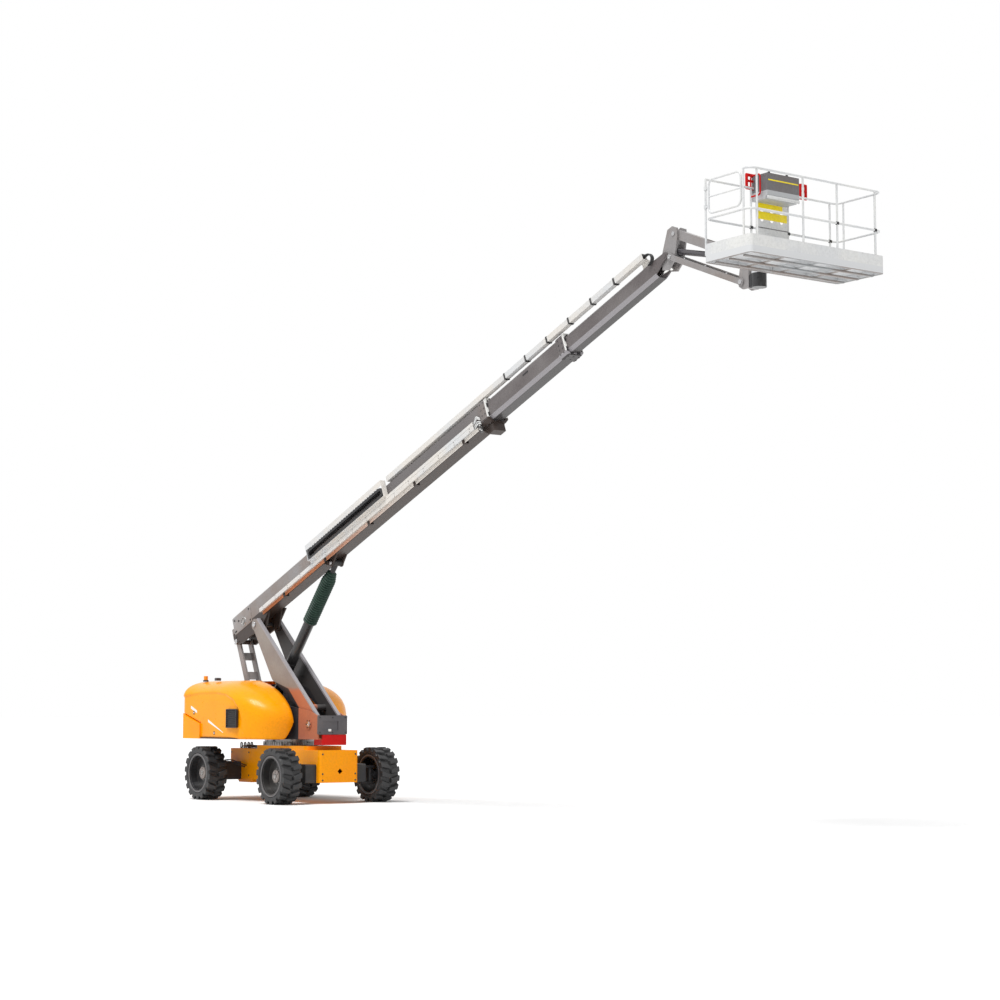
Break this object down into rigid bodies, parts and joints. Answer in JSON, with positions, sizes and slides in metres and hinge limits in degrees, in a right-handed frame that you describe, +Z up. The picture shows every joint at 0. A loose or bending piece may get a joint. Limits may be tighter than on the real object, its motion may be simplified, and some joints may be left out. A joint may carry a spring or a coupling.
{
  "type": "telescopic boom lift",
  "caption": "Self-propelled telescopic boom lift with a slewing turntable, side hoods, a linkage-mounted extending boom, a jib and a railed work platform.",
  "frame": {"origin": "on the ground under the slew axis, midway between the axles", "axes": "+X forward along the boom, +Y to the machine's left, +Z up"},
  "size_m": [16.6005, 2.6039, 9.3034],
  "materials": {
    "orange": "semi-gloss orange paint",
    "boom_grey": "semi-gloss warm grey paint",
    "dark_grey": "satin dark grey paint",
    "salmon": "satin faded orange paint",
    "black": "satin black paint",
    "white": "satin pale grey paint",
    "red": "gloss red paint",
    "green": "matt dark green sleeve",
    "tyre": "black rubber",
    "steel": "machined steel",
    "chrome": "ground chrome rod",
    "cast": "orange painted casting",
    "engine": "plain block",
    "copper": "bare copper pipe",
    "plastic": "black moulded plastic",
    "amber": "amber lens"
  },
  "bodies": {
    "chassis": {"chassis_frame": "orange", "axle_beams": "dark_grey", "slew_ring": "steel", "rear_valve_block": "black"},
    "steer_left": {"steer_knuckle_left": "dark_grey"},
    "steer_right": {"steer_knuckle_right": "dark_grey"},
    "turntable": {"turntable_frame": "salmon", "front_cover": "dark_grey", "slew_drive_cover": "red", "counterweight": "cast", "engine_block": "engine"},
    "left_hood": {"hood_left": "orange"},
    "right_hood": {"hood_right": "orange", "hood_vent": "plastic", "beacon_lamps": "amber"},
    "riser": {"riser_legs": "salmon"},
    "link": {"rear_link": "boom_grey"},
    "boom": {"boom_base": "boom_grey", "cable_tray": "white", "energy_chain": "plastic", "boom_pipes": "copper"},
    "lift_rod_body": {"lift_rod": "chrome", "rod_guard": "green"},
    "lift_barrel_body": {"lift_barrel": "dark_grey"},
    "section_2": {"boom_section_2": "boom_grey"},
    "section_3": {"boom_section_3": "boom_grey", "hose_carrier": "white"},
    "knuckle": {"jib_knuckle": "boom_grey"},
    "level_barrel_body": {"level_barrel": "dark_grey"},
    "level_rod_body": {"level_rod": "chrome"},
    "jib_low": {"jib_lower_arm": "boom_grey"},
    "jib_top": {"jib_upper_arm": "boom_grey"},
    "jib_barrel_body": {"jib_barrel": "dark_grey"},
    "jib_rod_body": {"jib_rod": "chrome"},
    "post": {"jib_post": "boom_grey", "platform_rotator": "black"},
    "platform": {"platform_floor": "white", "platform_arm": "white", "platform_rails": "white", "control_console": "dark_grey", "console_panel": "white", "grab_brackets": "red"},
    "gate": {"platform_gate": "white"},
    "wheel_front_left": {"tyre_front_left": "tyre", "rim_front_left": "black"},
    "wheel_front_right": {"tyre_front_right": "tyre", "rim_front_right": "black"},
    "wheel_rear_left": {"tyre_rear_left": "tyre", "rim_rear_left": "black"},
    "wheel_rear_right": {"tyre_rear_right": "tyre", "rim_rear_right": "black"}
  },
  "joints": [
    {"name": "steer_left", "type": "hinge", "parent": "chassis", "child": "steer_left", "pos_m": [1.4, 0.9, 0.51], "axis": [0, 0, 1], "range_deg": [-35, 35]},
    {"name": "steer_right", "type": "hinge", "parent": "chassis", "child": "steer_right", "pos_m": [1.4, -0.9, 0.51], "axis": [0, 0, 1], "range_deg": [-35.1, 35.1]},
    {"name": "slew", "type": "hinge", "parent": "chassis", "child": "turntable", "pos_m": [0, 0, 1.1], "axis": [0, 0, 1], "continuous": true},
    {"name": "hood_left_open", "type": "hinge", "parent": "turntable", "child": "left_hood", "pos_m": [-0.85, 0.345, 2.2], "axis": [1, 0, 0], "range_deg": [0, 60]},
    {"name": "hood_right_open", "type": "hinge", "parent": "turntable", "child": "right_hood", "pos_m": [-0.85, -0.345, 2.2], "axis": [-1, 0, 0], "range_deg": [0, 60]},
    {"name": "riser_swing", "type": "hinge", "parent": "turntable", "child": "riser", "pos_m": [1.18, 0, 1.45], "axis": [0, 1, 0], "range_deg": [-7.51, 13.53]},
    {"name": "boom_lift", "type": "hinge", "parent": "riser", "child": "boom", "pos_m": [-0.97, 0, 3.37], "axis": [0, -1, 0], "range_deg": [-28.89, 52.11]},
    {"name": "link_swing", "type": "hinge", "parent": "boom", "child": "link", "pos_m": [-1.82051, 0, 3.05173], "axis": [0, -1, 0], "range_deg": [-61.97, 34.37]},
    {"name": "lift_rod_swing", "type": "hinge", "parent": "boom", "child": "lift_rod_body", "pos_m": [1.62503, 0, 4.43853], "axis": [0, -1, 0], "range_deg": [-17.11, 9.5]},
    {"name": "lift_stroke", "type": "slide", "parent": "lift_rod_body", "child": "lift_barrel_body", "axis": [-0.6634, 0, -0.7483], "range_m": [-0.75967, 1.36945]},
    {"name": "telescope", "type": "slide", "parent": "boom", "child": "section_2", "axis": [0.9311, 0, 0.3649], "range_m": [-2, 4.7]},
    {"name": "section_3_slide", "type": "slide", "parent": "section_2", "child": "section_3", "axis": [0.9311, 0, 0.3649], "range_m": [-2.001, 4.701]},
    {"name": "knuckle_level", "type": "hinge", "parent": "section_3", "child": "knuckle", "pos_m": [11.22079, 0, 8.55995], "axis": [0, -1, 0], "range_deg": [-38.62, 21.42]},
    {"name": "level_barrel_swing", "type": "hinge", "parent": "section_3", "child": "level_barrel_body", "pos_m": [10.32597, 0, 8.11906], "axis": [0, -1, 0], "range_deg": [-2.05, 3.67]},
    {"name": "level_stroke", "type": "slide", "parent": "level_barrel_body", "child": "level_rod_body", "axis": [0.9521, 0, 0.3057], "range_m": [-0.08469, 0.0474]},
    {"name": "jib", "type": "hinge", "parent": "knuckle", "child": "jib_low", "pos_m": [11.34079, 0, 8.52995], "axis": [0, -1, 0], "range_deg": [-47.8, 82.2]},
    {"name": "jib_top_swing", "type": "hinge", "parent": "knuckle", "child": "jib_top", "pos_m": [11.40079, 0, 8.87995], "axis": [0, -1, 0], "range_deg": [-47.82, 82.22]},
    {"name": "post_level", "type": "hinge", "parent": "jib_low", "child": "post", "pos_m": [12.90551, 0, 7.8914], "axis": [0, -1, 0], "range_deg": [-82.22, 47.82]},
    {"name": "jib_barrel_swing", "type": "hinge", "parent": "knuckle", "child": "jib_barrel_body", "pos_m": [11.38079, 0, 8.61995], "axis": [0, -1, 0], "range_deg": [-47.01, 80.83]},
    {"name": "jib_stroke", "type": "slide", "parent": "jib_barrel_body", "child": "jib_rod_body", "axis": [0.9726, 0, -0.2323], "range_m": [-0.17564, 0.30132]},
    {"name": "platform_rotate", "type": "hinge", "parent": "post", "child": "platform", "pos_m": [13.17051, 0, 7.9814], "axis": [0, 0, 1], "range_deg": [-90, 90]},
    {"name": "gate_swing", "type": "hinge", "parent": "platform", "child": "gate", "pos_m": [13.47051, -1.28, 8.7914], "axis": [0, 0, 1], "range_deg": [0, 80]},
    {"name": "wheel_front_left", "type": "hinge", "parent": "steer_left", "child": "wheel_front_left", "pos_m": [1.4, 1.0525, 0.51], "axis": [0, 1, 0], "continuous": true},
    {"name": "wheel_front_right", "type": "hinge", "parent": "steer_right", "child": "wheel_front_right", "pos_m": [1.4, -1.0525, 0.51], "axis": [0, 1, 0], "continuous": true},
    {"name": "wheel_rear_left", "type": "hinge", "parent": "chassis", "child": "wheel_rear_left", "pos_m": [-1.4, 1.0525, 0.51], "axis": [0, 1, 0], "continuous": true},
    {"name": "wheel_rear_right", "type": "hinge", "parent": "chassis", "child": "wheel_rear_right", "pos_m": [-1.4, -1.0525, 0.51], "axis": [0, 1, 0], "continuous": true}
  ],
  "couplings": [
    {"joint": "steer_right", "follows": "steer_left", "ratio": 1},
    {"joint": "riser_swing", "follows": "boom_lift", "ratio": 0.25926},
    {"joint": "link_swing", "follows": "boom_lift", "ratio": -1.1889},
    {"joint": "lift_rod_swing", "follows": "boom_lift", "ratio": -0.32804},
    {"joint": "lift_stroke", "follows": "boom_lift", "m_per_rad": 1.5046},
    {"joint": "knuckle_level", "follows": "boom_lift", "ratio": -0.74074},
    {"joint": "level_barrel_swing", "follows": "boom_lift", "ratio": 0.07013},
    {"joint": "level_stroke", "follows": "boom_lift", "m_per_rad": -0.092013},
    {"joint": "section_3_slide", "follows": "telescope", "ratio": 1},
    {"joint": "jib_top_swing", "follows": "jib", "ratio": 1},
    {"joint": "post_level", "follows": "jib", "ratio": -1},
    {"joint": "jib_barrel_swing", "follows": "jib", "ratio": 0.98307},
    {"joint": "jib_stroke", "follows": "jib", "m_per_rad": 0.20933}
  ]
}
